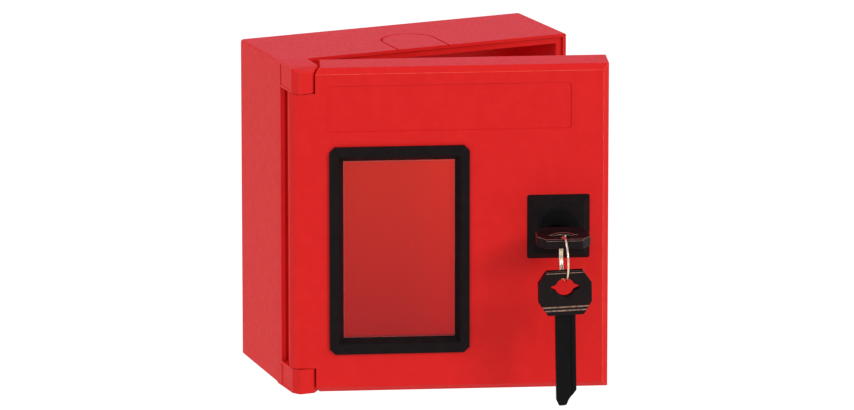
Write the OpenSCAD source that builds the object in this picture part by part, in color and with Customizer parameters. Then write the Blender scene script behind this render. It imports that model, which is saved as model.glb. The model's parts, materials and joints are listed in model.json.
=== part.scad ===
// Wall-hung emergency key box: a moulded box, a hinged door with a clear pane and a cam lock,
// and two keys on a split ring. The door stands ajar, with one key in the lock.
// Origin: middle of the wall screw holes on the back face. +X right, +Z up, the front faces -Y.

/* [Box] */
// Width of the box at its rim
box_w = 120; // [112:1:150]
// Height of the box at its rim
box_h = 129; // [124:1:170]
// Depth from the wall to the rim
box_d = 43; // [36:1:60]
// Taper of each side towards the wall
box_draft = 1; // [0.4:0.1:1.6]
// Thickness of the side walls
wall_t = 2.8; // [2.4:0.1:3.4]
// Thickness of the back wall
back_t = 2.5; // [2:0.1:3.5]
// Corner radius at the rim
rim_r = 0.6; // [0.3:0.1:1.4]
// Corner radius at the back
back_r = 1.1; // [0.6:0.1:2.4]
// Thickness of the thin lip round the rim
lip_t = 1.3; // [1:0.1:2]
// Depth of the thin lip
lip_d = 1; // [0.6:0.1:3]
// Height of the stiffening rib behind the lip, on three sides
rib_h = 1; // [0.5:0.1:3]
// Thickness of that rib
rib_t = 2; // [1.5:0.1:3]
// Width of the rail beside the door's hinge side
rail_w = 3.2; // [2.8:0.1:3.6]

/* [Knock-out] */
// Width of the cable knock-out in the top face
knock_w = 22; // [16:1:30]
// Length of the knock-out from the rim
knock_l = 26; // [18:1:31]
// Width of its groove
knock_groove_w = 0.8; // [0.6:0.1:1.2]
// Depth of its groove
knock_groove_d = 0.7; // [0.4:0.1:1.2]

/* [Wall fixing] */
// Distance between the wall screw holes across the box
fix_w = 90; // [60:1:94]
// Distance between the wall screw holes up the box
fix_h = 80; // [60:1:104]
// Diameter of the wall screw holes
fix_d = 4.5; // [4:0.1:6]

/* [Hinge] */
// Hinge axis from the left side
pivot_x = 5.5; // [5.2:0.1:5.8]
// Hinge axis in front of the rim
pivot_y = 11; // [10.8:0.1:11.4]
// Diameter of the hinge pins
pin_d = 3; // [2.4:0.1:3.6]
// Length of pin in the ear
pin_in_ear = 7; // [5:0.5:7.4]
// Length of pin in the door
pin_in_door = 10; // [7:0.5:11]
// Height of the ears at the two left corners
ear_h = 9.8; // [9.6:0.1:11]
// Width of an ear at its root
ear_root_w = 11.6; // [11.4:0.1:12.2]
// Width of an ear at its front corner
ear_nose_w = 11.2; // [10.9:0.1:11.4]
// Width of an ear's front face
ear_face_w = 7.8; // [7.4:0.1:8]
// Depth of the slope beside that face
ear_slope_d = 3.7; // [3.4:0.1:4]
// Width of the slope at an ear's outer front edge
ear_corner_w = 2; // [1.8:0.1:2.6]
// Depth of that slope
ear_corner_d = 3.2; // [3:0.1:3.8]
// Height of the bevel along the front of the upper ear
ear_bevel_h = 1.5; // [0.8:0.1:2.2]
// Depth of that bevel
ear_bevel_d = 3.5; // [2:0.1:3.6]
// Depth of the shallow panel in an ear's side
ear_panel_d = 0.2; // [0.1:0.1:0.5]
// Margin of that panel
ear_panel_edge = 0.9; // [0.6:0.1:1.4]
// Gap between the ears and the door, up and down
hinge_gap = 0.3; // [0.25:0.05:0.6]
// Gap beside the ears
notch_gap = 1; // [0.9:0.1:1.3]
// Width of the ears' notches at the face of the door
notch_face_w = 9.9; // [9.7:0.1:10.1]
// Angle at which the door stands open
door_ajar = 18; // [0:1:60]

/* [Door] */
// How far the door reaches past the box on the lock side
door_past = 3; // [0:0.5:6]
// How much shorter the door is than the box, at each end
door_inset = 0.2; // [0.1:0.1:0.8]
// Depth of the door from the rim to its face
door_t = 16; // [15.8:0.1:17]
// Thickness of its front skin
skin_t = 2.2; // [2:0.1:2.6]
// Thickness of its side walls
door_wall = 2.2; // [1.8:0.1:2.6]
// Bevel round its face
door_bevel = 2.2; // [1.5:0.1:2.4]
// Gap between the closed door and the rim
rim_gap = 0.3; // [0.2:0.05:0.5]

/* [Label recess] */
// Distance between the recess for a label and each side of the door
label_side = 14.5; // [12:0.5:30]
// Height of the recess
label_h = 18.2; // [12:0.1:20]
// Centre of the recess below the top of the box
label_drop = 16.1; // [15:0.1:18]
// Depth of the recess
label_d = 0.4; // [0.2:0.1:0.6]
// Corner radius of the recess
label_r = 1.5; // [0.5:0.1:3]

/* [Window] */
// Centre of the window from the left edge of the door
window_x = 42.2; // [41:0.1:44]
// Centre of the window below the middle of the box
window_drop = 7.7; // [7:0.1:10]
// Width of the black frame
frame_w = 54; // [50:0.5:55]
// Height of the black frame
frame_h = 82.3; // [70:0.1:84]
// Width of its side bars
frame_side = 5.5; // [5:0.1:6]
// Height of its top and bottom bars
frame_end = 6; // [5.5:0.1:6.5]
// How far it stands in front of the door
frame_proud = 1; // [0.6:0.1:1.6]
// Chamfer of its corners
frame_corner = 2.1; // [1:0.1:3]
// Width of the slope round the pane
frame_slope = 2; // [1.5:0.1:2.5]
// Depth of that slope
frame_slope_d = 2.8; // [2.2:0.1:3]
// How far the pane reaches behind the frame, each side
pane_lap = 1.5; // [1.2:0.1:1.7]
// Thickness of the pane
pane_t = 1.5; // [1:0.1:2]
// Thickness of the rubber gasket behind the pane
gasket_t = 0.8; // [0.5:0.1:1]
// Width of the gasket's band
gasket_w = 1.4; // [1.2:0.1:1.5]
// Thickness of the retainer plate
retainer_t = 1.5; // [1.2:0.1:2]
// Height of the retainer plate
retainer_h = 84; // [78:0.5:86]

/* [Retainer screws] */
// Shank diameter
rscrew_d = 1.9; // [1.5:0.1:2.2]
// Head diameter
rscrew_head_d = 4.2; // [3.6:0.1:4.6]
// Head height
rscrew_head_h = 1.4; // [1:0.1:1.8]
// Distance between screws up the door
rscrew_pitch = 56; // [40:1:70]

/* [Lock] */
// Lock axis from the right side of the box
lock_side = 16.5; // [16:0.1:20]
// Lock axis above the middle of the box
lock_rise = 0.5; // [-14:0.5:13]
// Width of the square escutcheon
plate_w = 24.2; // [22:0.1:26]
// Height of the escutcheon
plate_h = 25.3; // [22:0.1:26]
// Thickness of the escutcheon and width of its slopes
plate_t = 2.4; // [2:0.1:3]
// Corner radius of the escutcheon
plate_r = 1; // [0.5:0.1:1.5]
// Web of the escutcheon under the barrel's head
plate_web = 0.8; // [0.6:0.1:1.2]
// Diameter of the barrel's head
barrel_head_d = 15.8; // [15:0.1:16.6]
// How far the barrel's head stands in front of the escutcheon
barrel_proud = 0.4; // [0.2:0.1:1]
// Diameter of the barrel
barrel_d = 14; // [13.8:0.1:14.6]
// How far the barrel reaches past the tip of a key
barrel_past = 2.6; // [2.4:0.1:4]
// Diameter of the turning plug
plug_d = 12; // [11.8:0.1:12.4]
// Diameter of the plug's front flange
plug_flange_d = 13.2; // [13:0.1:13.4]
// Thickness of the plug's front flange
plug_flange_t = 1; // [0.8:0.1:1.4]
// Across the square tail of the plug
tail_w = 6.2; // [5.6:0.1:6.3]
// Across the flats of the nut
nut_flats = 19; // [18:0.5:20]
// Thickness of the nut
nut_t = 3; // [2:0.1:4]
// Thickness of the nut's lock washer
nut_washer_t = 0.5; // [0.4:0.1:1]
// Outer diameter of the lock washer
nut_washer_d = 20; // [18:0.5:22]
// Number of wafers in the plug
wafer_count = 5; // [3:1:6]
// Distance between wafers
wafer_pitch = 3.5; // [2.5:0.1:3.8]
// Thickness of a wafer
wafer_t = 0.8; // [0.5:0.1:1]
// Thickness of the plug's retaining clip
clip_t = 0.8; // [0.6:0.1:1]
// Opening of the clip
clip_mouth = 4; // [3:0.5:6]

/* [Cam] */
// Reach of the cam from the lock axis
cam_reach = 12.8; // [12.2:0.1:13]
// Width of the cam's arm
cam_w = 8; // [6:0.5:10]
// Radius of the cam's hub
cam_hub_r = 7; // [6:0.1:7.4]
// Thickness of the cam
cam_t = 1.6; // [1.2:0.1:2]
// Diameter of the cam screw
cam_screw_d = 3; // [2.5:0.1:3.5]
// Head diameter of the cam screw
cam_head_d = 6; // [5:0.1:7]
// Head height of the cam screw
cam_head_h = 2; // [1.5:0.1:2.5]
// Outer diameter of the cam washer
cam_washer_d = 11; // [9:0.5:12]
// Thickness of the cam washer
cam_washer_t = 0.5; // [0.4:0.1:0.8]
// Height of the catch rib that the cam locks behind
catch_h = 20; // [14:1:40]
// Thickness of the catch rib
catch_t = 1.6; // [1.2:0.1:2.5]
// Overlap of the locked cam and the catch rib
catch_lap = 2.6; // [2:0.1:3.2]

/* [Keys] */
// Width of a key's head
head_w = 20.4; // [18:0.1:21]
// Length of a key's head
head_l = 17.2; // [16.5:0.1:18]
// Thickness of a key's head
head_t = 3.8; // [3.6:0.1:4]
// Corner cut of the head, across
head_cut_x = 3.3; // [2:0.1:4]
// Corner cut of the head, along
head_cut_z = 4.8; // [3:0.1:5]
// Web between the hole and the end of the head
head_web = 2.85; // [2.4:0.05:2.9]
// Diameter of the hole in the head
hole_d = 7.2; // [6.8:0.1:7.6]
// Width across the two lobes of the hole
hole_lobes_w = 11.2; // [9:0.1:12]
// Height of the lobes at their round ends
lobe_h = 1.7; // [1.4:0.1:2.4]
// Height of the lobes at the middle of the hole
lobe_root_h = 5; // [3:0.1:6]
// Chamfer of the web's edges
web_chamfer = 0.7; // [0.6:0.05:0.8]
// How far each of the two steps at the head's lower end stands out
step_d = 0.3; // [0.1:0.05:0.5]
// Height of the slope of each step
step_slope = 0.5; // [0.3:0.1:0.8]
// Height of the upper step above the lower end
step_hi = 3.4; // [3:0.1:4]
// Height of the lower step
step_lo = 2.1; // [1.5:0.1:2.5]
// Width of the blade
blade_w = 7.8; // [7:0.1:8.2]
// Thickness of the blade
blade_t = 2; // [1.8:0.1:2.2]
// Length of the blade from the head
blade_l = 36.3; // [35:0.1:36.6]
// Depth of blade moulded into the head
blade_root = 6; // [4:0.5:7]
// Depth of the groove along the blade
blade_groove = 0.5; // [0.3:0.1:0.7]
// Width of the groove
blade_groove_w = 2.8; // [2:0.1:3.4]
// How far the front groove lies right of the blade's middle
blade_groove_x = 0.8; // [0:0.1:1]
// Height of the blade's sloping tip
tip_h = 6; // [4:0.1:8]
// Front end of the key in the lock, in front of the rim
key_front = 43.5; // [43:0.1:44.5]
// Turn of the ring and the hanging key about the vertical
spare_turn = 4; // [0:1:8]
// Lean of the hanging key
spare_lean = 1; // [0:0.5:2]

/* [Ring] */
// Wire diameter of the split ring
wire_d = 0.8; // [0.7:0.05:1]
// Inner radius of the split ring
ring_r = 8.2; // [8.15:0.01:8.3]
// How far the wire's second turn goes round
ring_lap = 150; // [60:10:300]
// Distance between the ring's centre and each key's web
ring_hang = 6; // [5.9:0.01:6.05]

/* [Inside hook] */
// Bend of the hook below the top of the box
hook_drop = 29; // [24:1:50]
// Width of the hook's strap
hook_w = 8; // [6:0.5:12]
// Thickness of the strap
hook_t = 1.2; // [1:0.1:1.6]
// Inner radius of the hook's bend
hook_r = 4; // [3:0.1:5]
// Height of the strap above the bend
hook_back_h = 14; // [13:0.5:18]
// Height of the hook's tip above the bend
hook_tip_h = 4; // [2:0.5:8]
// Height of the boss that carries the hook
hook_boss_h = 3; // [2:0.5:5]
// Diameter of that boss
hook_boss_d = 9; // [8:0.5:10]
// Diameter of the hook screw
hscrew_d = 3; // [2.5:0.1:3.4]

/* [Hidden] */
$fn = 64;

// Clearances
fit = 0.05;         // running fit of a pin, plug or key, each side
press = 0.02;       // fixed fit of a thread or stem, each side
loose = 0.15;       // free fit of a part that is dropped in, each side
end_gap = 0.3;      // space beyond the end of a pin, screw or key in its hole
seat_gap = 0.1;     // space that lets the piece beside it take the load
over = 1;           // extra length of a cutting shape
join = 0.01;        // overlap of two steps of one cutting shape

// Screw heads: taper, and the cross as shares of the diameter
head_taper = 0.8;
cross_l = 0.5;
cross_w = 0.13;

// Colours
RED = [0.85, 0.15, 0.14];
BLACK = [0.11, 0.11, 0.12];
CLEAR = [0.85, 0.88, 0.9, 0.35];
RUBBER = [0.07, 0.07, 0.07];
STEEL = [0.72, 0.73, 0.75];
BRASS = [0.86, 0.72, 0.45];

// Door places: v counts forwards from the rim
door_w = box_w + door_past;
door_h = box_h - 2 * door_inset;
side_v = door_t - door_bevel;
skin_v = door_t - skin_t;
barrel_round = pivot_y - rim_gap;
notch_h = ear_h + hinge_gap;
notch_wall_w = ear_root_w + notch_gap + door_wall;
pin_wall = 2;
pin_side = 3.2;
pin_post_w = pivot_x + pin_d / 2 + pin_side;

// Rim places: the rib's whole width, from the lip inwards
rib_w = wall_t - lip_t + rib_h;

// Label recess places
label_w = door_w - 2 * label_side;
label_z = box_h - label_drop;

// Window places
window_z = box_h / 2 - window_drop;
open_w = frame_w - 2 * frame_side;
open_h = frame_h - 2 * frame_end;
frame_v = door_t + frame_proud;
pane_v = frame_v - frame_slope_d;
pane_w = open_w + 2 * pane_lap;
pane_h = open_h + 2 * pane_lap;
collar_wall = 1.3;
pocket_w = pane_w + 2 * fit;
pocket_h = pane_h + 2 * fit;
collar_w = pocket_w + 2 * collar_wall;
collar_h = pocket_h + 2 * collar_wall;
gasket_v = pane_v - pane_t;
retainer_v = gasket_v - gasket_t;
collar_v = retainer_v + seat_gap;
rboss_d = 5.2;
rboss_gap = 0.5;
rscrew_x = collar_w / 2 + loose + rboss_gap + rboss_d / 2;
rscrew_depth = skin_v + skin_t / 2;
retainer_w = 2 * (rscrew_x + rboss_d / 2 + end_gap);

// Lock places
lock_x = box_w - lock_side;
lock_z = box_h / 2 + lock_rise;
plate_v = door_t + plate_t;
seat_v = door_t + plate_web;
barrel_v = plate_v + barrel_proud;
head_chamfer = 0.4;
plug_proud = 0.1;
nut_v = skin_v - nut_washer_t;
key_tip = key_front - head_l - blade_l;
barrel_reach = barrel_past - key_tip;
clip_v = -barrel_reach - fit;
neck_d = 9;
groove_end = -barrel_reach - clip_t - 2 * fit;
clip_inset = 0.3;
clip_d = barrel_d - 2 * clip_inset;
cam_v = groove_end - seat_gap;
cam_back = cam_v - cam_t;
tail_v = cam_back + seat_gap;
cam_screw_v = cam_back - cam_washer_t;
cam_screw_l = 4.3;
cam_screw_end = cam_screw_v + cam_screw_l;
keyway_end = key_tip - end_gap;
wafer_start = 6.5;
wafer_first = plate_v - wafer_start;
wafer_w = 10.4;
wafer_h = 5;
catch_gap = 0.4;
catch_v = cam_v + catch_gap;

// Key places
web_v = key_front - head_web / 2;
head_top = head_web / 2;
hole_z = -head_web / 2 - hole_d / 2;
head_end = head_top - head_l;
blade_tip = head_end - blade_l;
lobe_x = (hole_lobes_w - lobe_h) / 2;
collar_t = head_t + 4 * step_d;
ring_z = lock_z - ring_hang;
spare_z = ring_z - ring_hang;
turn_lap = 0.1;

// Hook places: depth counts backwards from the rim
inner_back = box_d - back_t;
hook_x = box_w / 2;
hook_z = box_h - hook_drop;
hook_face = inner_back - hook_boss_h;
hscrew_head_d = 5.6;
hscrew_head_h = 1.8;
hscrew_skin = 0.9;
hscrew_z = hook_back_h - hscrew_head_d;
hscrew_l = hook_t + hook_boss_h + back_t - end_gap - hscrew_skin;

// Corner frame: from the front left bottom corner of the rim, X right, Y back, Z up
module corner() translate([-box_w / 2, -box_d, -box_h / 2]) children();

// The door's own frame, turned about the hinge
module door_frame(angle = door_ajar)
    corner() translate([pivot_x, -pivot_y, 0]) rotate([0, 0, -angle])
        translate([-pivot_x, pivot_y, 0]) children();

// A thing at the bottom of the box, put at its top
module top_end() translate([0, 0, box_h]) mirror([0, 0, 1]) children();

// The same thing at the bottom and at the top
module both_ends() {
    children();
    top_end() children();
}

// A flat outline in X and Z, made into a slab between two distances in front of the rim
module layer(v0, v1)
    translate([0, -v0, 0]) rotate([90, 0, 0]) linear_extrude(v1 - v0) children();

// An outline in Y and Z drawn along X
module along_x(length)
    rotate([90, 0, 90]) linear_extrude(length) children();

module rounded_rect(w, h, r) {
    square([w - 2 * r, h], center = true);
    square([w, h - 2 * r], center = true);
    for (x = [-1, 1], y = [-1, 1])
        translate([x * (w / 2 - r), y * (h / 2 - r)]) circle(r);
}

module chamfered_rect(w, h, c)
    polygon([[-w / 2 + c, -h / 2], [w / 2 - c, -h / 2], [w / 2, -h / 2 + c], [w / 2, h / 2 - c],
        [w / 2 - c, h / 2], [-w / 2 + c, h / 2], [-w / 2, h / 2 - c], [-w / 2, -h / 2 + c]]);

// A rectangle with four sloping sides, from w0 by h0 at v0 to w1 by h1 at v1
module sloped(w0, h0, v0, w1, h1, v1)
    intersection() {
        translate([0, 0, -max(h0, h1)]) linear_extrude(2 * max(h0, h1))
            polygon([[-w0 / 2, -v0], [w0 / 2, -v0], [w1 / 2, -v1], [-w1 / 2, -v1]]);
        translate([-max(w0, w1), 0, 0]) along_x(2 * max(w0, w1))
            polygon([[-v0, -h0 / 2], [-v0, h0 / 2], [-v1, h1 / 2], [-v1, -h1 / 2]]);
    }

// Screw head with its outer face at z = 0, and a cross in it
module screw_head(d, h)
    difference() {
        cylinder(d1 = d - head_taper, d2 = d, h = h);
        for (a = [0, 90]) rotate(a)
            translate([-cross_l * d / 2, -cross_w * d / 2, -over])
                cube([cross_l * d, cross_w * d, over + h / 2]);
    }

// Tapered block of the box, shrunk by t on each side
module box_block(t, y0, y1, r0, r1) {
    module end(y, r) {
        d = t + box_draft * y / box_d;
        translate([box_w / 2, y, box_h / 2]) rotate([90, 0, 0]) linear_extrude(join)
            rounded_rect(box_w - 2 * d, box_h - 2 * d, r);
    }
    hull() {
        end(y0 + join, r0, $fn = 32);
        end(y1, r1, $fn = 32);
    }
}

// Ear at a left corner, and the panel in its side; the upper one is bevelled along its front
module ear(bevelled) {
    front = -door_t;
    corner_y = front + ear_corner_d;
    difference() {
        linear_extrude(ear_h)
            polygon([[0, 0], [0, corner_y], [ear_corner_w, front], [ear_face_w, front],
                [ear_nose_w, front + ear_slope_d], [ear_root_w, 0], [ear_root_w, lip_d + rib_t],
                [lip_t / 2, lip_d + rib_t], [lip_t / 2, 0]]);
        if (bevelled)
            translate([-over, 0, 0]) along_x(ear_root_w + 2 * over)
                polygon([[front - over, -over], [front + ear_bevel_d, -over], [front + ear_bevel_d, 0],
                    [front, ear_bevel_h], [front - over, ear_bevel_h]]);
        translate([-over, corner_y + ear_panel_edge, ear_panel_edge])
            cube([over + ear_panel_d, -corner_y - ear_panel_edge, ear_h - 2 * ear_panel_edge]);
        translate([pivot_x, -pivot_y, ear_h - pin_in_ear - end_gap])
            cylinder(d = pin_d + 2 * fit, h = pin_in_ear + end_gap + over);
    }
}

// Rail between the ears, hollowed round the hinge axis so that the door turns close to it
module hinge_rail()
    linear_extrude(box_h / 2) difference() {
        translate([0, -pivot_y]) square([rail_w, pivot_y + lip_d + rib_t]);
        translate([pivot_x, -pivot_y]) circle(pivot_y);
    }

module knock_out_groove() {
    module u_shape(inset)
        translate([box_w / 2, 0]) {
            r = knock_w / 2 - inset;
            translate([-r, -over]) square([2 * r, knock_l - knock_w / 2 + over]);
            translate([0, knock_l - knock_w / 2]) circle(r);
        }
    translate([0, 0, box_h]) rotate([-atan(box_draft / box_d), 0, 0])
        translate([0, 0, -knock_groove_d]) linear_extrude(knock_groove_d + over) difference() {
            u_shape(0);
            u_shape(knock_groove_w);
        }
}

module back_box() color(RED) corner() {
    catch_x = lock_x + cam_reach - catch_lap;
    difference() {
        union() {
            difference() {
                box_block(0, 0, box_d, rim_r, back_r);
                box_block(wall_t, -over, inner_back, rim_r / 2, back_r / 2);
                translate([lip_t, -over, lip_t])
                    cube([box_w - 2 * lip_t, lip_d + over, box_h - 2 * lip_t]);
            }
            ear(false);
            top_end() ear(true);
            both_ends() {
                hinge_rail();
                translate([lip_t, lip_d, lip_t]) cube([box_w - 2 * lip_t, rib_t, rib_w]);
            }
            translate([box_w - lip_t - rib_w, lip_d, lip_t]) cube([rib_w, rib_t, box_h - 2 * lip_t]);
            translate([catch_x, -catch_v - catch_t, lock_z - catch_h / 2])
                cube([box_w - box_draft - wall_t / 2 - catch_x, catch_t, catch_h]);
            translate([hook_x, hook_face, hook_z + hscrew_z]) rotate([-90, 0, 0])
                cylinder(d = hook_boss_d, h = hook_boss_h + back_t / 2);
        }
        knock_out_groove();
        for (x = [-1, 1], z = [-1, 1])
            translate([box_w / 2 + x * fix_w / 2, inner_back - over, box_h / 2 + z * fix_h / 2])
                rotate([-90, 0, 0]) cylinder(d = fix_d, h = back_t + 2 * over);
        translate([hook_x, hook_face - over, hook_z + hscrew_z]) rotate([-90, 0, 0])
            cylinder(d = hscrew_d + 2 * press, h = hscrew_l - hook_t + over + end_gap);
    }
}

// Stamped strap: flat against its boss, bent forwards and up at the bottom
module key_hook() color(STEEL) corner() {
    r_out = hook_r + hook_t;
    difference() {
        translate([hook_x - hook_w / 2, hook_face - r_out, hook_z]) along_x(hook_w) {
            difference() {
                circle(r_out);
                circle(hook_r);
                translate([-r_out - over, 0]) square([2 * r_out + 2 * over, r_out + over]);
            }
            translate([hook_r, 0]) square([hook_t, hook_back_h]);
            translate([-r_out, 0]) square([hook_t, hook_tip_h]);
        }
        translate([hook_x, hook_face - hook_t - over, hook_z + hscrew_z]) rotate([-90, 0, 0])
            cylinder(d = hscrew_d + 2 * loose, h = hook_t + 2 * over);
    }
}

module hook_screw() color(STEEL) corner()
    translate([hook_x, hook_face - hook_t, hook_z + hscrew_z]) rotate([-90, 0, 0]) {
        cylinder(d = hscrew_d, h = hscrew_l);
        translate([0, 0, -hscrew_head_h]) screw_head(hscrew_head_d, hscrew_head_h);
    }

module door_outline()
    difference() {
        polygon([[0, -rim_gap], [0, -side_v], [door_bevel, -door_t], [door_w - door_bevel, -door_t],
            [door_w, -side_v], [door_w, -rim_gap]]);
        difference() {
            translate([-over, -pivot_y]) square([pivot_x + over, pivot_y + over]);
            translate([pivot_x, -pivot_y]) circle(barrel_round);
        }
    }

module door_block()
    intersection() {
        linear_extrude(box_h) door_outline();
        translate([-over, 0, 0]) along_x(door_w + 2 * over)
            polygon([[0, door_inset], [-side_v, door_inset], [-door_t, door_inset + door_bevel],
                [-door_t, box_h - door_inset - door_bevel], [-side_v, box_h - door_inset],
                [0, box_h - door_inset]]);
    }

// Room for an ear, with the slope of its side
module hinge_notch()
    translate([0, 0, -over]) linear_extrude(notch_h + over)
        polygon([[-over, over], [ear_root_w + notch_gap, over], [ear_root_w + notch_gap, 0],
            [ear_nose_w + notch_gap, ear_slope_d - door_t], [notch_face_w, -door_t],
            [notch_face_w, -door_t - over], [-over, -door_t - over]]);

module window_place() translate([window_x, 0, window_z]) children();

module retainer_places()
    for (x = [-1, 1], z = [-1, 1])
        translate([x * rscrew_x, 0, z * rscrew_pitch / 2]) children();

module door_shell() color(RED) door_frame() {
    difference() {
        door_block();
        difference() {
            translate([door_wall, -skin_v, door_inset + door_wall])
                cube([door_w - 2 * door_wall, skin_v + over, door_h - 2 * door_wall]);
            both_ends() {
                translate([-over, -door_t, 0])
                    cube([notch_wall_w + over, door_t + 2 * over, notch_h + door_wall]);
                translate([-over, -door_t, 0])
                    cube([pin_post_w + over, door_t + 2 * over, notch_h + pin_in_door + pin_wall]);
            }
            window_place() retainer_places() layer(retainer_v, door_t) circle(d = rboss_d);
        }
        both_ends() {
            hinge_notch();
            translate([pivot_x, -pivot_y, 0])
                cylinder(d = pin_d, h = notch_h + pin_in_door);
        }
        window_place() {
            layer(retainer_v - over, door_t + over)
                square([collar_w + 2 * loose, collar_h + 2 * loose], center = true);
            retainer_places() layer(retainer_v - over, rscrew_depth + end_gap) circle(d = rscrew_d);
        }
        translate([door_w / 2, 0, label_z]) layer(door_t - label_d, door_t + over)
            rounded_rect(label_w, label_h, label_r);
        lock_axis() translate([0, 0, skin_v - over])
            cylinder(d = barrel_d + 2 * press, h = skin_t + 2 * over);
    }
}

module hinge_pin()
    translate([pivot_x, -pivot_y, ear_h - pin_in_ear]) {
        length = pin_in_ear + hinge_gap + pin_in_door;
        cylinder(d = pin_d, h = length);
    }

module upper_hinge_pin() color(STEEL) door_frame()
    top_end() hinge_pin();

module lower_hinge_pin() color(STEEL) door_frame() hinge_pin();

// Black frame: a flange on the door's face, a collar through the door, and a slope round the pane
module window_frame() color(BLACK) door_frame() window_place()
    difference() {
        union() {
            layer(door_t, frame_v) chamfered_rect(frame_w, frame_h, frame_corner);
            layer(collar_v, door_t) square([collar_w, collar_h], center = true);
        }
        layer(collar_v - over, pane_v) square([pocket_w, pocket_h], center = true);
        sloped(open_w, open_h, pane_v, open_w + 2 * frame_slope, open_h + 2 * frame_slope, frame_v);
        layer(pane_v - join, pane_v + join) square([open_w, open_h], center = true);
        layer(frame_v - join, frame_v + over)
            square([open_w + 2 * frame_slope, open_h + 2 * frame_slope], center = true);
    }

module window_pane() color(CLEAR) door_frame() window_place()
    layer(gasket_v, pane_v) square([pane_w, pane_h], center = true);

module pane_gasket() color(RUBBER) door_frame() window_place()
    layer(retainer_v, gasket_v) difference() {
        square([pane_w, pane_h], center = true);
        square([pane_w - 2 * gasket_w, pane_h - 2 * gasket_w], center = true);
    }

module pane_retainer() color(BLACK) door_frame() window_place()
    difference() {
        layer(retainer_v - retainer_t, retainer_v) difference() {
            square([retainer_w, retainer_h], center = true);
            square([pane_w - 2 * gasket_w, pane_h - 2 * gasket_w], center = true);
        }
        retainer_places() layer(retainer_v - retainer_t - over, retainer_v + over)
            circle(d = rscrew_d + 2 * loose);
    }

module retainer_screws() color(STEEL) door_frame() window_place() retainer_places() {
    back = retainer_v - retainer_t;
    layer(back, rscrew_depth) circle(d = rscrew_d);
    rotate([90, 0, 0]) translate([0, 0, back - rscrew_head_h])
        screw_head(rscrew_head_d, rscrew_head_h);
}

// Lock pieces are drawn with Z along the lock, counting forwards from the rim
module lock_axis() translate([lock_x, 0, lock_z]) rotate([90, 0, 0]) children();

module lock_escutcheon() color(BLACK) door_frame() {
    difference() {
        translate([lock_x, 0, lock_z]) intersection() {
            sloped(plate_w, plate_h, door_t, plate_w - 2 * plate_t, plate_h - 2 * plate_t, plate_v);
            layer(door_t, plate_v) rounded_rect(plate_w, plate_h, plate_r);
        }
        lock_axis() {
            translate([0, 0, door_t - over]) cylinder(d = barrel_d + 2 * press, h = plate_t + 2 * over);
            translate([0, 0, seat_v]) cylinder(d = barrel_head_d + 2 * fit, h = plate_t + over);
        }
    }
}

module lock_barrel() color(BLACK) door_frame() lock_axis()
    difference() {
        union() {
            translate([0, 0, -barrel_reach]) cylinder(d = barrel_d, h = barrel_reach + seat_v);
            translate([0, 0, seat_v])
                cylinder(d = barrel_head_d, h = barrel_v - seat_v - head_chamfer);
            translate([0, 0, barrel_v - head_chamfer])
                cylinder(d1 = barrel_head_d, d2 = barrel_head_d - 2 * head_chamfer, h = head_chamfer);
        }
        translate([0, 0, -barrel_reach - over])
            cylinder(d = plug_d + 2 * fit, h = barrel_reach + barrel_v + 2 * over);
        translate([0, 0, barrel_v - plug_flange_t - fit])
            cylinder(d = plug_flange_d + 2 * fit, h = plug_flange_t + over);
    }

module lock_nut() color(STEEL) door_frame() lock_axis()
    translate([0, 0, nut_v - nut_t]) difference() {
        cylinder(d = nut_flats / cos(30), h = nut_t, $fn = 6);
        translate([0, 0, -over]) cylinder(d = barrel_d + 2 * press, h = nut_t + 2 * over);
    }

module nut_washer() color(STEEL) door_frame() lock_axis()
    translate([0, 0, nut_v]) difference() {
        cylinder(d = nut_washer_d, h = nut_washer_t);
        translate([0, 0, -over]) cylinder(d = barrel_d + 2 * loose, h = nut_washer_t + 2 * over);
    }

module wafer_places()
    for (i = [0 : wafer_count - 1]) translate([0, 0, wafer_first - i * wafer_pitch]) children();

module lock_plug() color(BLACK) door_frame() lock_axis()
    difference() {
        union() {
            translate([0, 0, -barrel_reach]) cylinder(d = plug_d, h = barrel_reach + barrel_v);
            translate([0, 0, barrel_v - plug_flange_t])
                cylinder(d = plug_flange_d, h = plug_flange_t + plug_proud);
            translate([0, 0, groove_end]) cylinder(d = neck_d, h = -barrel_reach - groove_end);
            translate([-tail_w / 2, -tail_w / 2, tail_v]) cube([tail_w, tail_w, groove_end - tail_v]);
        }
        translate([-blade_w / 2 - fit, -blade_t / 2 - fit, keyway_end])
            cube([blade_w + 2 * fit, blade_t + 2 * fit, barrel_v - keyway_end + over]);
        wafer_places() translate([0, 0, wafer_t / 2])
            cube([wafer_w, wafer_h, wafer_t] + [1, 1, 1] * 2 * seat_gap, center = true);
        translate([0, 0, tail_v - over])
            cylinder(d = cam_screw_d, h = cam_screw_end - tail_v + end_gap + over);
    }

module lock_wafers() color(BRASS) door_frame() lock_axis() wafer_places()
    linear_extrude(wafer_t) difference() {
        square([wafer_w, wafer_h], center = true);
        square([blade_w + 2 * loose, blade_t + 2 * loose], center = true);
    }

// Open clip in the groove behind the barrel
module plug_clip() color(STEEL) door_frame() lock_axis()
    translate([0, 0, clip_v - clip_t]) linear_extrude(clip_t) difference() {
        circle(d = clip_d);
        circle(d = neck_d + 2 * fit);
        translate([-clip_mouth / 2, -barrel_d]) square([clip_mouth, barrel_d]);
    }

module lock_cam() color(STEEL) door_frame() lock_axis()
    translate([0, 0, cam_back]) linear_extrude(cam_t) difference() {
        union() {
            circle(cam_hub_r);
            translate([-cam_w / 2, 0]) square([cam_w, cam_reach]);
        }
        square(tail_w + 2 * fit, center = true);
    }

module cam_washer() color(STEEL) door_frame() lock_axis()
    translate([0, 0, cam_screw_v]) difference() {
        cylinder(d = cam_washer_d, h = cam_washer_t);
        translate([0, 0, -over]) cylinder(d = cam_screw_d + 2 * loose, h = cam_washer_t + 2 * over);
    }

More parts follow.
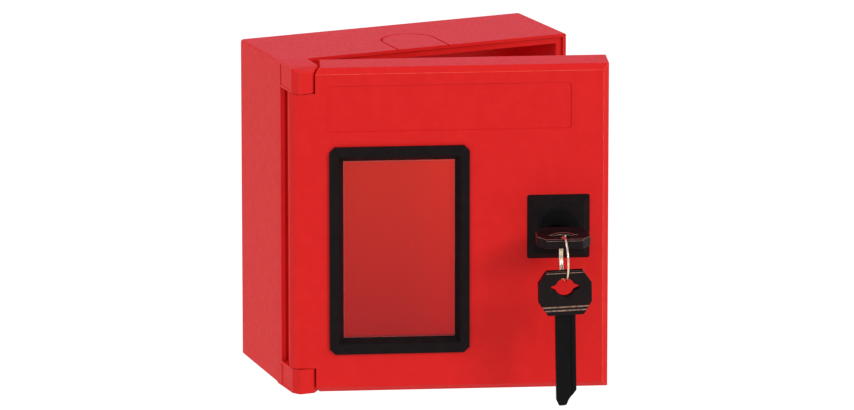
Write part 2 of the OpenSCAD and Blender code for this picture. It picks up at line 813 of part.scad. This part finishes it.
module cam_screw() color(STEEL) door_frame() lock_axis() {
    translate([0, 0, cam_screw_v]) cylinder(d = cam_screw_d, h = cam_screw_end - cam_screw_v);
    translate([0, 0, cam_screw_v - cam_head_h]) screw_head(cam_head_d, cam_head_h);
}

// A key hangs down from the middle of its web: width along X, thickness along Y.
// Its hole has two lobes that narrow towards their round ends
module head_outline()
    difference() {
        polygon([[-head_w / 2 + head_cut_x, head_top], [head_w / 2 - head_cut_x, head_top],
            [head_w / 2, head_top - head_cut_z], [head_w / 2, head_end + head_cut_z],
            [head_w / 2 - head_cut_x, head_end], [-head_w / 2 + head_cut_x, head_end],
            [-head_w / 2, head_end + head_cut_z], [-head_w / 2, head_top - head_cut_z]]);
        translate([0, hole_z]) {
            circle(d = hole_d);
            for (x = [-lobe_x, lobe_x]) translate([x, 0]) circle(d = lobe_h);
            polygon([[-lobe_x, -lobe_h / 2], [0, -lobe_root_h / 2], [lobe_x, -lobe_h / 2],
                [lobe_x, lobe_h / 2], [0, lobe_root_h / 2], [-lobe_x, lobe_h / 2]]);
        }
    }

// Thickness of the head from end to end: chamfered web, and a stepped collar at the lower end
module head_profile() {
    half = [[head_t / 2 - web_chamfer, head_top],
        [head_t / 2, head_top - web_chamfer], [head_t / 2, head_end + step_hi],
        [head_t / 2 + step_d, head_end + step_hi - step_slope],
        [head_t / 2 + step_d, head_end + step_lo],
        [collar_t / 2, head_end + step_lo - step_slope], [collar_t / 2, head_end]];
    polygon(concat(half, [for (i = [len(half) - 1 : -1 : 0]) [-half[i].x, half[i].y]]));
}

module key_head()
    difference() {
        intersection() {
            rotate([90, 0, 0]) translate([0, 0, -collar_t / 2]) linear_extrude(collar_t) head_outline();
            translate([-head_w, 0, 0]) along_x(2 * head_w) head_profile();
        }
        for (y = [-1, 1])
            translate([0, y * (head_t / 2 - web_chamfer), hole_z]) rotate([y * -90, 0, 0])
                cylinder(d1 = hole_d, d2 = hole_d + 2 * (web_chamfer + over), h = web_chamfer + over);
        translate([-blade_w / 2, -blade_t / 2, head_end - over])
            cube([blade_w, blade_t, blade_root + over]);
    }

module key_blade() {
    heel_x = 1;
    heel_z = 2.2;
    difference() {
        rotate([90, 0, 0]) translate([0, 0, -blade_t / 2]) linear_extrude(blade_t)
            polygon([[-blade_w / 2, head_end + blade_root], [-blade_w / 2, blade_tip + heel_z],
                [-blade_w / 2 + heel_x, blade_tip], [0, blade_tip], [heel_x, blade_tip + heel_z],
                [blade_w / 2, blade_tip + tip_h], [blade_w / 2, head_end + blade_root]]);
        for (y = [-1, 1])
            translate([-y * blade_groove_x, y * (blade_t / 2 - blade_groove / 2 + over / 2),
                    (head_end + blade_tip) / 2])
                cube([blade_groove_w, blade_groove + over, blade_l + over], center = true);
    }
}

// The key in the lock lies flat, with its web towards the front
module lock_key_place() door_frame()
    translate([lock_x, -web_v, lock_z]) rotate([90, 0, 0]) children();

module spare_key_place() door_frame()
    translate([lock_x, -web_v, spare_z]) rotate([0, -spare_lean, spare_turn]) children();

module lock_key_head() color(BLACK) lock_key_place() key_head();
module lock_key_blade() color(BLACK) lock_key_place() key_blade();
module spare_key_head() color(BLACK) spare_key_place() key_head();
module spare_key_blade() color(BLACK) spare_key_place() key_blade();

// A turn of wire, and part of a second turn beside it on the side next to the door
module wire_turn(angle, side)
    translate([0, 0, side * (wire_d - turn_lap) / 2]) rotate([0, 0, 90 - angle / 2])
        rotate_extrude(angle = angle) translate([ring_r + wire_d / 2, 0]) circle(d = wire_d, $fn = 24);

module split_ring() color(BRASS) door_frame()
    translate([lock_x, -web_v, ring_z]) rotate([0, 90, spare_turn]) {
        wire_turn(360, 1);
        wire_turn(ring_lap, -1);
    }

back_box();
key_hook();
hook_screw();
door_shell();
upper_hinge_pin();
lower_hinge_pin();
window_frame();
window_pane();
pane_gasket();
pane_retainer();
retainer_screws();
lock_escutcheon();
lock_barrel();
lock_nut();
nut_washer();
lock_plug();
lock_wafers();
plug_clip();
lock_cam();
cam_washer();
cam_screw();
lock_key_head();
lock_key_blade();
split_ring();
spare_key_head();
spare_key_blade();
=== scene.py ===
# Wall-hung emergency key box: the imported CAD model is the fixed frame, and each visible piece is
# dressed with rounded edges and its own finish. Lengths are in metres; MM turns millimetres into them.
import json
from math import cos, pi, radians, sin

import bmesh
import bpy
from mathutils import Matrix, Vector


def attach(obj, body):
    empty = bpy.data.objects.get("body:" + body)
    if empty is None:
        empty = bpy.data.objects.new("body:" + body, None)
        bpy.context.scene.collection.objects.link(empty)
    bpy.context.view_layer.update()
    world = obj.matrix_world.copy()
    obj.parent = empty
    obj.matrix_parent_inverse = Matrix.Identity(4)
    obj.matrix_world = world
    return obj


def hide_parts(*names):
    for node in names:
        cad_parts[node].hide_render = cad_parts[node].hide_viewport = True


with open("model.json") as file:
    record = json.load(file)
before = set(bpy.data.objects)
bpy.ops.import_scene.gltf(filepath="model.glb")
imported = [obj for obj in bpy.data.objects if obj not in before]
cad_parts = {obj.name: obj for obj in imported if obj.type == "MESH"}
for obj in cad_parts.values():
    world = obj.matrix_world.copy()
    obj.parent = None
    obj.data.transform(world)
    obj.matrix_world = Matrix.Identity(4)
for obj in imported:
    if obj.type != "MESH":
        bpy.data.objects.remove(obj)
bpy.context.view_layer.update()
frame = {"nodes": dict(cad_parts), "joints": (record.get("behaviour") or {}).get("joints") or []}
joints = {joint["name"]: joint for joint in frame["joints"]}

MM = 0.001

# Places taken from the frame: the hinge, the lock, and the two key webs on the ring
AJAR = radians(-joints["door_hinge"]["range_deg"][0])
LOCK = Vector(joints["plug_turn"]["pos_m"])
KEY_WEB = Vector(joints["ring_swing"]["pos_m"])
SPARE_WEB = Vector(joints["spare_swing"]["pos_m"])
OUTWARD = -Vector(joints["plug_turn"]["axis"])
ACROSS = Vector((cos(AJAR), -sin(AJAR), 0))
RING_ACROSS = -Vector(joints["ring_swing"]["axis"])
RING_OUTWARD = Vector((RING_ACROSS.y, -RING_ACROSS.x, 0))
UP = Vector((0, 0, 1))


def axes(origin, x, y, z):
    """Matrix from a piece's own directions to the frame."""
    m = Matrix((x, y, z)).transposed().to_4x4()
    m.translation = origin
    return m


# The lock's z runs out along its axis, and the ring's along the axis of its coil. A key's x, y and z are
# its width, its thickness and its length upwards. The door's are across to its lock side, inward and up.
LOCK_AXIS = axes(LOCK, ACROSS, UP, OUTWARD)
RING_PLANE = axes((KEY_WEB + SPARE_WEB) / 2, RING_OUTWARD, UP, -RING_ACROSS)
KEY_AXES = {"lock_key": axes(KEY_WEB, ACROSS, UP, OUTWARD),
            "spare_key": axes(SPARE_WEB, RING_ACROSS, -RING_OUTWARD, UP)}
DOOR_AXES = axes(LOCK, ACROSS, -OUTWARD, UP)


# Materials

class Finish:
    """A Principled material with its Object coordinates at hand."""

    def __init__(self, name, colour, roughness, metallic=0.0, specular=0.5):
        self.material = bpy.data.materials.new(name)
        self.material.use_nodes = True
        self.tree = self.material.node_tree
        self.shader = self.tree.nodes["Principled BSDF"]
        self.shader.inputs["Base Color"].default_value = (*colour, 1)
        self.shader.inputs["Roughness"].default_value = roughness
        self.shader.inputs["Metallic"].default_value = metallic
        self.shader.inputs["Specular IOR Level"].default_value = specular
        self.coords = self.node("ShaderNodeTexCoord").outputs["Object"]

    def node(self, kind, **settings):
        made = self.tree.nodes.new(kind)
        for key, value in settings.items():
            setattr(made, key, value)
        return made

    def join(self, a, b):
        self.tree.links.new(a, b)

    def noise(self, size, detail, stretch=None):
        """Noise whose features are about size metres across."""
        vector = self.coords
        if stretch:
            mapping = self.node("ShaderNodeMapping")
            mapping.inputs["Scale"].default_value = stretch
            self.join(vector, mapping.inputs["Vector"])
            vector = mapping.outputs["Vector"]
        noise = self.node("ShaderNodeTexNoise")
        noise.inputs["Scale"].default_value = 1 / size
        noise.inputs["Detail"].default_value = detail
        self.join(vector, noise.inputs["Vector"])
        return noise.outputs["Fac"]

    def span(self, value, low, high, start=0.35, end=0.65):
        """Turns value's range from start to end, by default the usual one of noise, into low to high."""
        span = self.node("ShaderNodeMapRange")
        for key, number in (("From Min", start), ("From Max", end), ("To Min", low), ("To Max", high)):
            span.inputs[key].default_value = number
        self.join(value, span.inputs["Value"])
        return span.outputs["Result"]

    def colour(self, value, first, second):
        """Base colour that goes from first to second as value goes from 0 to 1."""
        mix = self.node("ShaderNodeMix", data_type="RGBA")
        mix.inputs["A"].default_value = (*first, 1)
        mix.inputs["B"].default_value = (*second, 1)
        self.join(value, mix.inputs["Factor"])
        self.join(mix.outputs["Result"], self.shader.inputs["Base Color"])

    def roughness(self, value, low, high):
        self.join(self.span(value, low, high), self.shader.inputs["Roughness"])

    def bump(self, value, depth):
        """Relief of depth metres."""
        bump = self.node("ShaderNodeBump")
        bump.inputs["Distance"].default_value = depth
        bump.inputs["Strength"].default_value = 1.0
        self.join(value, bump.inputs["Height"])
        self.join(bump.outputs["Normal"], self.shader.inputs["Normal"])


def moulded(name, colour, darker, rough, cloud, grain, depth, specular):
    """Injection-moulded plastic or black plating: slightly clouded colour over a fine grain."""
    finish = Finish(name, colour, rough, specular=specular)
    finish.colour(finish.span(finish.noise(cloud, 4), 0, 1), colour, darker)
    finish.roughness(finish.noise(1.6 * MM, 3), rough - 0.04, rough + 0.05)
    finish.bump(finish.noise(grain, 2), depth)
    return finish


def plated(name, colour, darker, rough, patch, scratch, depth):
    """Bright metal in patches of two tones, with fine drawn scratches."""
    finish = Finish(name, colour, rough, metallic=1.0)
    finish.colour(finish.span(finish.noise(patch, 3), 0, 1), colour, darker)
    finish.roughness(finish.noise(0.9 * MM, 3), rough - 0.06, rough + 0.08)
    finish.bump(finish.noise(scratch, 2, stretch=(1, 1, 0.08)), depth)
    return finish


def hazed_pane(name, pane_painted_light, pane_painted_shade):
    """Slightly hazy plastic whose colour is painted light, going to painted shade towards its lower end.
    The lamps shine through it.
    """
    rough, lower_end, upper_end = 0.22, -40 * MM, 28 * MM
    finish = Finish(name, pane_painted_light, rough, specular=0.2)
    shader = finish.shader
    shader.inputs["Transmission Weight"].default_value = 0.78
    shader.inputs["IOR"].default_value = 1.30
    height = finish.node("ShaderNodeSeparateXYZ")
    finish.join(finish.coords, height.inputs[0])
    finish.colour(finish.span(height.outputs["Z"], 0, 1, lower_end, upper_end), pane_painted_shade, pane_painted_light)
    finish.roughness(finish.noise(7 * MM, 3), rough - 0.03, rough + 0.03)
    finish.bump(finish.noise(18 * MM, 1), 0.02 * MM)
    clear = finish.node("ShaderNodeBsdfTransparent")
    clear.inputs["Color"].default_value = (0.9, 0.88, 0.88, 1)
    path = finish.node("ShaderNodeLightPath")
    mix = finish.node("ShaderNodeMixShader")
    finish.join(path.outputs["Is Shadow Ray"], mix.inputs[0])
    finish.join(shader.outputs[0], mix.inputs[1])
    finish.join(clear.outputs[0], mix.inputs[2])
    finish.join(mix.outputs[0], finish.tree.nodes["Material Output"].inputs["Surface"])
    return finish


RED = moulded("red_plastic", (0.700, 0.0125, 0.0115), darker=(0.670, 0.0105, 0.0100), rough=0.48,
              cloud=5 * MM, grain=0.5 * MM, depth=0.006 * MM, specular=0.15)
# Painted highlight: a lighter, more orange copy of the red for the rounded edges that catch the key light
RED_PAINTED_HIGHLIGHT = moulded("red_plastic_painted_highlight", (1.0, 0.19, 0.085), darker=(0.86, 0.060, 0.032), rough=0.36,
                   cloud=3 * MM, grain=0.5 * MM, depth=0.004 * MM, specular=0.4)
# Painted light: a lighter copy of the red for the walls inside the box and door and in the gaps at the
# hinge, lifting their shade
RED_INSIDE_PAINTED_LIGHT = moulded("red_plastic_inside_painted_light", (0.96, 0.052, 0.058), darker=(0.93, 0.046, 0.052), rough=0.42,
                     cloud=5 * MM, grain=0.5 * MM, depth=0.004 * MM, specular=0.2)
BLACK = moulded("black_plastic", (0.0110, 0.0070, 0.0074), darker=(0.0080, 0.0052, 0.0055), rough=0.50,
                cloud=4 * MM, grain=0.4 * MM, depth=0.008 * MM, specular=0.07)
KEY_BLACK = moulded("key_black", (0.0105, 0.0050, 0.0055), darker=(0.0070, 0.0036, 0.0040), rough=0.42,
                    cloud=2 * MM, grain=0.6 * MM, depth=0.010 * MM, specular=0.12)
RUBBER = moulded("gasket_rubber", (0.02, 0.02, 0.02), darker=(0.015, 0.015, 0.015), rough=0.75,
                 cloud=4 * MM, grain=0.3 * MM, depth=0.02 * MM, specular=0.2)
STEEL = plated("steel", (0.60, 0.60, 0.62), darker=(0.50, 0.50, 0.51), rough=0.32,
               patch=3 * MM, scratch=0.25 * MM, depth=0.004 * MM)
BLACK_ZINC = moulded("black_zinc", (0.0045, 0.0043, 0.0048), darker=(0.0030, 0.0030, 0.0034), rough=0.42,
                     cloud=2 * MM, grain=0.3 * MM, depth=0.006 * MM, specular=0.10)
KEY_STEEL = moulded("key_steel", (0.0042, 0.0032, 0.0033), darker=(0.0028, 0.0022, 0.0023), rough=0.38,
                    cloud=2 * MM, grain=0.5 * MM, depth=0.006 * MM, specular=0.10)
BRASS = plated("brass", (1.0, 0.86, 0.62), darker=(0.94, 0.74, 0.48), rough=0.22,
               patch=3 * MM, scratch=0.3 * MM, depth=0.002 * MM)
# Bronze for black parts where they catch the light: on the keys partly metal scuffed bare and partly a
# painted highlight, on the escutcheon a painted highlight
RUBBED_AND_HIGHLIGHT = plated("rubbed_bronze_and_painted_highlight", (0.46, 0.27, 0.175), darker=(0.20, 0.11, 0.075), rough=0.42,
                patch=1.2 * MM, scratch=0.5 * MM, depth=0.006 * MM)
# The pane's red is painted light from the lit red inside seen through it, with painted shade towards its
# lower end; its edge copy is lighter and pinker, a painted highlight on the pane's rounded edges
PANE = hazed_pane("clear_pane", pane_painted_light=(1.0, 0.092, 0.055), pane_painted_shade=(0.78, 0.050, 0.052))
PANE_HIGHLIGHT = hazed_pane("clear_pane_painted_highlight", pane_painted_light=(1.0, 0.42, 0.38), pane_painted_shade=(0.90, 0.30, 0.30))


# Pieces

WELD = 0.002 * MM
FLAT = radians(0.4)


def finish_piece(name, bm, body, finish, nodes, others=(), crease=35):
    """Makes an object of the mesh, smooth except at creases, and hands it to its body."""
    mesh = bpy.data.meshes.new(name)
    bm.to_mesh(mesh)
    bm.free()
    for each in (finish, *others):
        mesh.materials.append(each.material)
    mesh.shade_smooth()
    mesh.set_sharp_from_angle(angle=radians(crease))
    piece = bpy.data.objects.new(name, mesh)
    bpy.context.scene.collection.objects.link(piece)
    even = piece.modifiers.new("even_shading", "WEIGHTED_NORMAL")
    even.keep_sharp = True
    even.weight = 80
    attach(piece, body)
    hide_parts(*nodes)
    return piece


def solid(node):
    """The node's CAD solid as a clean mesh, its flat faces whole."""
    bm = bmesh.new()
    bm.from_mesh(frame["nodes"][node].data)
    bmesh.ops.remove_doubles(bm, verts=bm.verts, dist=WELD)
    bmesh.ops.dissolve_limit(bm, angle_limit=FLAT, verts=bm.verts, edges=bm.edges)
    return bm


def reach(node, place):
    """Lowest and highest corner of a CAD node, along the directions of place."""
    back = place.inverted()
    points = [back @ vertex.co for vertex in frame["nodes"][node].data.vertices]
    return (Vector(min(p[k] for p in points) for k in range(3)),
            Vector(max(p[k] for p in points) for k in range(3)))


def along(place, face):
    """The face's middle and its normal, along the directions of place."""
    back = place.inverted()
    return back @ face.calc_center_median(), back.to_3x3() @ face.normal


def soften(bm, edge, segments=2, steepest=28):
    """Rounds the edges sharper than steepest degrees, as a mould leaves them, and gives the new faces."""
    sharp = [e for e in bm.edges if e.is_manifold and e.calc_face_angle(0) > radians(steepest)]
    return bmesh.ops.bevel(bm, geom=sharp, offset=edge, offset_type="OFFSET", affect="EDGES",
                           segments=segments, profile=0.5, material=-1, clamp_overlap=True)["faces"]


def softened(node, body, finish, edge, segments=2, place=Matrix(), painted_edge_glint=None, inner=None):
    """A CAD node with rounded edges. The two optional pairs are each a finish and a test of a face's
    middle and
    normal along place: the first gives a painted highlight to the faces of the rounded edges that pass its
    test, the second paints light on any other face that passes."""
    bm = solid(node)
    rounded = set(soften(bm, edge, segments))
    for face in bm.faces:
        at, normal = along(place, face)
        if painted_edge_glint and face in rounded and painted_edge_glint[1](at, normal):
            face.material_index = 1
        elif inner and inner[1](at, normal):
            face.material_index = 2
    others = [pair[0] for pair in (painted_edge_glint, inner) if pair]
    return finish_piece(node + "_piece", bm, body, finish, [node], others)


# On the box, from the middle of its back: the plane of its rim and what still counts as the rim's edge,
# the lip's inner edges, the hollow inside the walls, the gap at the hinge, and the front of the ears
RIM_Y, RIM_EDGE = -43 * MM, 0.6 * MM
LIP_X, LIP_Z = 57 * MM, 62 * MM
HOLLOW_X, HOLLOW_Z = 57.6 * MM, 62.1 * MM
HOLLOW_FRONT, HOLLOW_BACK = -41.5 * MM, -2.4 * MM
GAP_X, GAP_Y, GAP_Z = -56.5 * MM, -43.5 * MM, 54 * MM
EAR_Y, EAR_Z = -54 * MM, 50 * MM

# On the door, from the lock along DOOR_AXES: the bevels along its lock side and its top, the hollow inside
# its walls, its round edge at the hinge, and the notches for the ears
BEVEL_X, BEVEL_Z, BEVEL_END = 16.5 * MM, 60.5 * MM, -92 * MM
SHELL_HINGE, SHELL_LOCK, SHELL_Z = -90 * MM, 17.4 * MM, 62.7 * MM
SHELL_FRONT, SHELL_BACK = -13.9 * MM, -0.5 * MM
ROUND_X, ROUND_Z = -98.2 * MM, 53 * MM
NOTCH_X, NOTCH_LOW, NOTCH_HIGH = -90 * MM, 50 * MM, 64 * MM

# How much of a face's normal lies along a direction
A_LITTLE, PARTLY, MOSTLY, WHOLLY = 0.2, 0.3, 0.7, 0.95


def painted_box_highlight(at, normal):
    """Painted highlight: the inner edge of the rim, and the front edges of the upper ear up to its top
    face, where the key light glints.
    """
    top_face = 0.75
    at_rim = abs(at.y - RIM_Y) < RIM_EDGE and normal.y < -A_LITTLE
    top = at.z > LIP_Z and normal.z < -A_LITTLE
    lock_side = at.x > LIP_X and normal.x < -A_LITTLE
    ear = at.y < EAR_Y and at.z > EAR_Z and normal.y < -PARTLY and normal.z < top_face
    return at_rim and (top or lock_side) or ear


def painted_door_highlight(at, normal):
    """Painted highlight: the front edges of the bevel along the door's top and lock side, where the key
    light glints.
    """
    top = at.z > BEVEL_Z and at.x > BEVEL_END
    return normal.y < -MOSTLY and normal.z < MOSTLY and (top or at.x > BEVEL_X)


def inside_box(at, normal):
    """Painted light: the walls inside the box, and those of the gaps between it and the door at the hinge,
    which take the lighter red that lifts their shade.
    """
    ear_side = 0.8
    hollow = HOLLOW_FRONT < at.y < HOLLOW_BACK and abs(at.x) < HOLLOW_X and abs(at.z) < HOLLOW_Z
    rail = at.y < GAP_Y and at.x < GAP_X and abs(at.z) < GAP_Z and normal.x > -WHOLLY
    ear = at.y < GAP_Y and normal.x > ear_side
    return hollow or rail or ear


def inside_door(at, normal):
    """Painted light: the walls inside the door, and those of the same gaps, which take the lighter red
    that lifts their shade.
    """
    hollow = (SHELL_FRONT < at.y < SHELL_BACK and SHELL_HINGE < at.x < SHELL_LOCK
              and abs(at.z) < SHELL_Z)
    round_edge = at.x < ROUND_X and abs(at.z) < ROUND_Z and normal.x > -WHOLLY
    notch = at.x < NOTCH_X and NOTCH_LOW < abs(at.z) < NOTCH_HIGH
    return hollow or normal.y > -PARTLY and (round_edge or notch)


def escutcheon_highlight(at, normal):
    """Painted highlight: the rounded upper corner of the escutcheon on the lock side, where the light
    glints.
    """
    return at.x > 8 * MM and normal.x > PARTLY and normal.z > PARTLY


# Box and door: painted highlight on the rounded edges that catch the key light, and a lighter red inside
# them and in the gaps at the hinge, as painted light that lifts their shade
softened("back_box", "box", RED, 0.3 * MM, 3,
         painted_edge_glint=(RED_PAINTED_HIGHLIGHT, painted_box_highlight), inner=(RED_INSIDE_PAINTED_LIGHT, inside_box))
softened("door_shell", "door", RED, 0.3 * MM, 3, DOOR_AXES,
         painted_edge_glint=(RED_PAINTED_HIGHLIGHT, painted_door_highlight), inner=(RED_INSIDE_PAINTED_LIGHT, inside_door))
softened("window_frame", "door", BLACK, 0.25 * MM)
softened("pane_retainer", "door", BLACK, 0.2 * MM)
# The escutcheon's bronze corner is a painted highlight
softened("lock_escutcheon", "door", BLACK, 0.2 * MM, place=DOOR_AXES,
         painted_edge_glint=(RUBBED_AND_HIGHLIGHT, escutcheon_highlight))
softened("lock_nut", "door", STEEL, 0.3 * MM)
softened("lock_plug", "plug", BLACK_ZINC, 0.1 * MM)
softened("lock_cam", "plug", STEEL, 0.15 * MM)
softened("key_hook", "box", STEEL, 0.15 * MM)


def window_pane():
    """The pane, with the low step at its front that fills the frame's opening."""
    margin, step = 1.7 * MM, 0.35 * MM
    bm = solid("window_pane")
    front = min(bm.faces, key=lambda face: along(DOOR_AXES, face)[0].y)
    bmesh.ops.inset_region(bm, faces=[front], thickness=margin, use_even_offset=True)
    raised = bmesh.ops.extrude_discrete_faces(bm, faces=[front])["faces"]
    bmesh.ops.translate(bm, verts=raised[0].verts, vec=OUTWARD * step)
    # The rounded edges of the step take the pane's lighter copy: a painted highlight
    for face in soften(bm, 0.3 * MM):
        face.material_index = 1
    return finish_piece("window_pane_piece", bm, "door", PANE, ["window_pane"], [PANE_HIGHLIGHT])


window_pane()


def turned(outline, place, segments=72):
    """A turned piece: outline is its closed section, as distances from and along the axis of place."""
    bm = bmesh.new()
    corners = [bm.verts.new((r, 0, z)) for r, z in outline]
    for a, b in zip(corners, corners[1:] + corners[:1]):
        bm.edges.new((a, b))
    bmesh.ops.spin(bm, geom=bm.verts[:] + bm.edges[:], cent=(0, 0, 0), axis=(0, 0, 1), angle=2 * pi,
                   steps=segments, use_merge=True)
    bmesh.ops.remove_doubles(bm, verts=bm.verts, dist=WELD / 2)
    bmesh.ops.recalc_face_normals(bm, faces=bm.faces)
    bmesh.ops.transform(bm, matrix=place, verts=bm.verts)
    return bm


def lock_barrel():
    """The barrel, with a chamfered head and the thread behind it that takes the nut."""
    low, high = reach("lock_barrel", LOCK_AXIS)
    head, shank, bore, flange = 7.9 * MM, 7.0 * MM, 6.05 * MM, 6.65 * MM
    front, back = high.z, low.z
    seat, recess = front - 2 * MM, front - 1.05 * MM
    edge, plain_end = 0.4 * MM, 5 * MM
    pitch, root = 1.0 * MM, shank - 0.35 * MM
    # One groove: radius, and place as a share of the pitch
    groove = ((shank, 0.2), (root, 0.55), (root, 0.65), (shank, 1.0))
    outline = [(bore, back), (shank - edge, back), (shank, back + edge)]
    for turn in range(int((seat - plain_end - back) / pitch)):
        outline += [(radius, back + edge + (turn + share) * pitch) for radius, share in groove]
    outline += [(shank, seat), (head, seat), (head, front - edge), (head - edge, front),
                (flange, front), (flange, recess), (bore, recess)]
    bm = turned(outline, LOCK_AXIS)
    return finish_piece("lock_barrel_piece", bm, "door", BLACK_ZINC, ["lock_barrel"],
                        crease=30)


lock_barrel()


def key_head(key, body):
    """A key's head: black, with bronze along its web on the side facing the light, on the slopes of the
    hanging key's collar and on the upper edges of the key in the lock:
    metal scuffed bare, laid where the light catches it, so partly a painted highlight."""
    node, place = key + "_head", KEY_AXES[key]
    in_lock = key == "lock_key"
    low, high = reach(node, place)
    collar, edges, web = low.z + 4 * MM, low.z + 3 * MM, high.z - 1.2 * MM
    # The web's side that faces the key light, where its bronze is a painted highlight
    lit_side = 1 if in_lock else -1
    bm = solid(node)
    rounded = set(soften(bm, 0.25 * MM, steepest=34))
    for face in bm.faces:
        at, normal = along(place, face)
        on_web = at.z > web and normal.z > A_LITTLE and normal.y * lit_side > PARTLY
        on_edge = in_lock and at.z > edges and normal.y > PARTLY
        on_slope = not in_lock and at.z < collar and PARTLY < normal.z < MOSTLY
        bronze_and_highlight = (on_web or on_edge) if face in rounded else on_slope
        if bronze_and_highlight:
            face.material_index = 1
    return finish_piece(node + "_piece", bm, body, KEY_BLACK, [node], [RUBBED_AND_HIGHLIGHT])


for key, body in (("lock_key", "key"), ("spare_key", "spare_key")):
    key_head(key, body)
    softened(key + "_blade", body, KEY_STEEL, 0.12 * MM)


def split_ring():
    """Round wire wound as a coil: one turn, and part of a second beside it next to the door."""
    wire, inner, lap = 0.8 * MM, 8.2 * MM, radians(150)
    steps, sides = 160, 20
    sweep = 2 * pi + lap
    rise = wire * sweep / (2 * pi)
    bm = bmesh.new()
    section = bmesh.ops.create_circle(bm, cap_ends=True, radius=wire / 2, segments=sides)["verts"]
    start = Matrix.Translation((inner + wire / 2, 0, -rise / 2)) @ Matrix.Rotation(radians(90), 4, "X")
    bmesh.ops.transform(bm, matrix=start, verts=section)
    bmesh.ops.spin(bm, geom=bm.verts[:] + bm.edges[:] + bm.faces[:], cent=(0, 0, 0), axis=(0, 0, 1),
                   dvec=(0, 0, rise / steps), angle=sweep, steps=steps)
    bmesh.ops.holes_fill(bm, edges=bm.edges, sides=0)
    bmesh.ops.recalc_face_normals(bm, faces=bm.faces)
    bmesh.ops.transform(bm, matrix=RING_PLANE @ Matrix.Rotation(pi - lap / 2, 4, "Z"), verts=bm.verts)
    return finish_piece("split_ring_piece", bm, "ring", BRASS, ["split_ring"])


split_ring()

# CAD nodes that keep their own shape
for node, finish in (("hook_screw", STEEL), ("upper_hinge_pin", STEEL), ("lower_hinge_pin", STEEL),
                     ("pane_gasket", RUBBER), ("retainer_screws", STEEL), ("nut_washer", STEEL),
                     ("lock_wafers", BRASS), ("plug_clip", STEEL), ("cam_washer", STEEL),
                     ("cam_screw", STEEL)):
    frame["nodes"][node].data.materials.clear()
    frame["nodes"][node].data.materials.append(finish.material)


# Studio

LIT_PLACE = Vector((0, -0.05, 0))
LAMP_DISTANCE = 2.6
FLOOR_SIZE, FLOOR_Z = 6, -0.32


def area_light(name, direction, size, power, colour=(1, 1, 1)):
    lamp = bpy.data.lights.new(name, "AREA")
    lamp.shape = "SQUARE"
    lamp.size = size
    lamp.energy = power
    lamp.color = colour
    light = bpy.data.objects.new(name, lamp)
    place = Vector(direction).normalized() * LAMP_DISTANCE
    light.location = place
    light.rotation_euler = (LIT_PLACE - place).to_track_quat("-Z", "Y").to_euler()
    bpy.context.scene.collection.objects.link(light)


area_light("key_light", (0.37, -0.79, 0.45), size=0.7, power=24, colour=(1, 0.95, 0.88))
area_light("left_light", (-0.90, -0.42, 0.35), size=1.4, power=4)
area_light("back_light", (-0.80, 0.50, 0.65), size=1.4, power=15.5)


def pale_beyond(tree, plain, seen, reflected):
    """Mixes in seen for rays from the camera, and reflected for rays off a gloss or through the pane."""
    path = tree.nodes.new("ShaderNodeLightPath")
    either = tree.nodes.new("ShaderNodeMath")
    either.operation = "MAXIMUM"
    tree.links.new(path.outputs["Is Glossy Ray"], either.inputs[0])
    tree.links.new(path.outputs["Is Transmission Ray"], either.inputs[1])
    first = tree.nodes.new("ShaderNodeMixShader")
    second = tree.nodes.new("ShaderNodeMixShader")
    tree.links.new(either.outputs[0], first.inputs[0])
    tree.links.new(plain, first.inputs[1])
    tree.links.new(reflected, first.inputs[2])
    tree.links.new(path.outputs["Is Camera Ray"], second.inputs[0])
    tree.links.new(first.outputs[0], second.inputs[1])
    tree.links.new(seen, second.inputs[2])
    return second.outputs[0]


def studio_world():
    """White to the camera, a softer white on the pieces, and bluer in a gloss or through the pane."""
    world = bpy.data.worlds.new("studio")
    bpy.context.scene.world = world
    world.use_nodes = True
    tree = world.node_tree

    def background(colour, strength):
        node = tree.nodes.new("ShaderNodeBackground")
        node.inputs["Color"].default_value = (*colour, 1)
        node.inputs["Strength"].default_value = strength
        return node.outputs[0]

    ambient = background((1, 1, 1), 0.72)
    backdrop = background((1, 1, 1), 1.0)
    reflected = background((0.68, 0.75, 1.0), 0.8)
    tree.links.new(pale_beyond(tree, ambient, backdrop, reflected),
                   tree.nodes["World Output"].inputs["Surface"])


def floor():
    """A pale floor below the hanging box, which glows a little to the camera."""
    bm = bmesh.new()
    bmesh.ops.create_grid(bm, x_segments=1, y_segments=1, size=FLOOR_SIZE)
    bmesh.ops.translate(bm, verts=bm.verts, vec=(0, 0, FLOOR_Z))
    mesh = bpy.data.meshes.new("floor")
    bm.to_mesh(mesh)
    bm.free()
    plane = bpy.data.objects.new("floor", mesh)
    bpy.context.scene.collection.objects.link(plane)
    material = bpy.data.materials.new("pale_floor")
    material.use_nodes = True
    tree = material.node_tree
    shader = tree.nodes["Principled BSDF"]
    shader.inputs["Base Color"].default_value = (0.8, 0.8, 0.8, 1)
    shader.inputs["Roughness"].default_value = 0.9
    glow = tree.nodes.new("ShaderNodeEmission")
    glow.inputs["Strength"].default_value = 0.35
    both = tree.nodes.new("ShaderNodeAddShader")
    tree.links.new(shader.outputs[0], both.inputs[0])
    tree.links.new(glow.outputs[0], both.inputs[1])
    tree.links.new(pale_beyond(tree, shader.outputs[0], both.outputs[0], shader.outputs[0]),
                   tree.nodes["Material Output"].inputs["Surface"])
    mesh.materials.append(material)


studio_world()
floor()

# Camera, at the place fitted to the photograph
camera_data = bpy.data.cameras.new("camera")
camera_data.lens = 337.24
camera_data.sensor_width = 36
camera = bpy.data.objects.new("camera", camera_data)
camera.location = (-1.14639, -2.82147, 0.78652)
camera.rotation_euler = (radians(75.362), 0, radians(-22.447))
bpy.context.scene.collection.objects.link(camera)
bpy.context.scene.camera = camera

bpy.context.scene.view_settings.view_transform = "Standard"
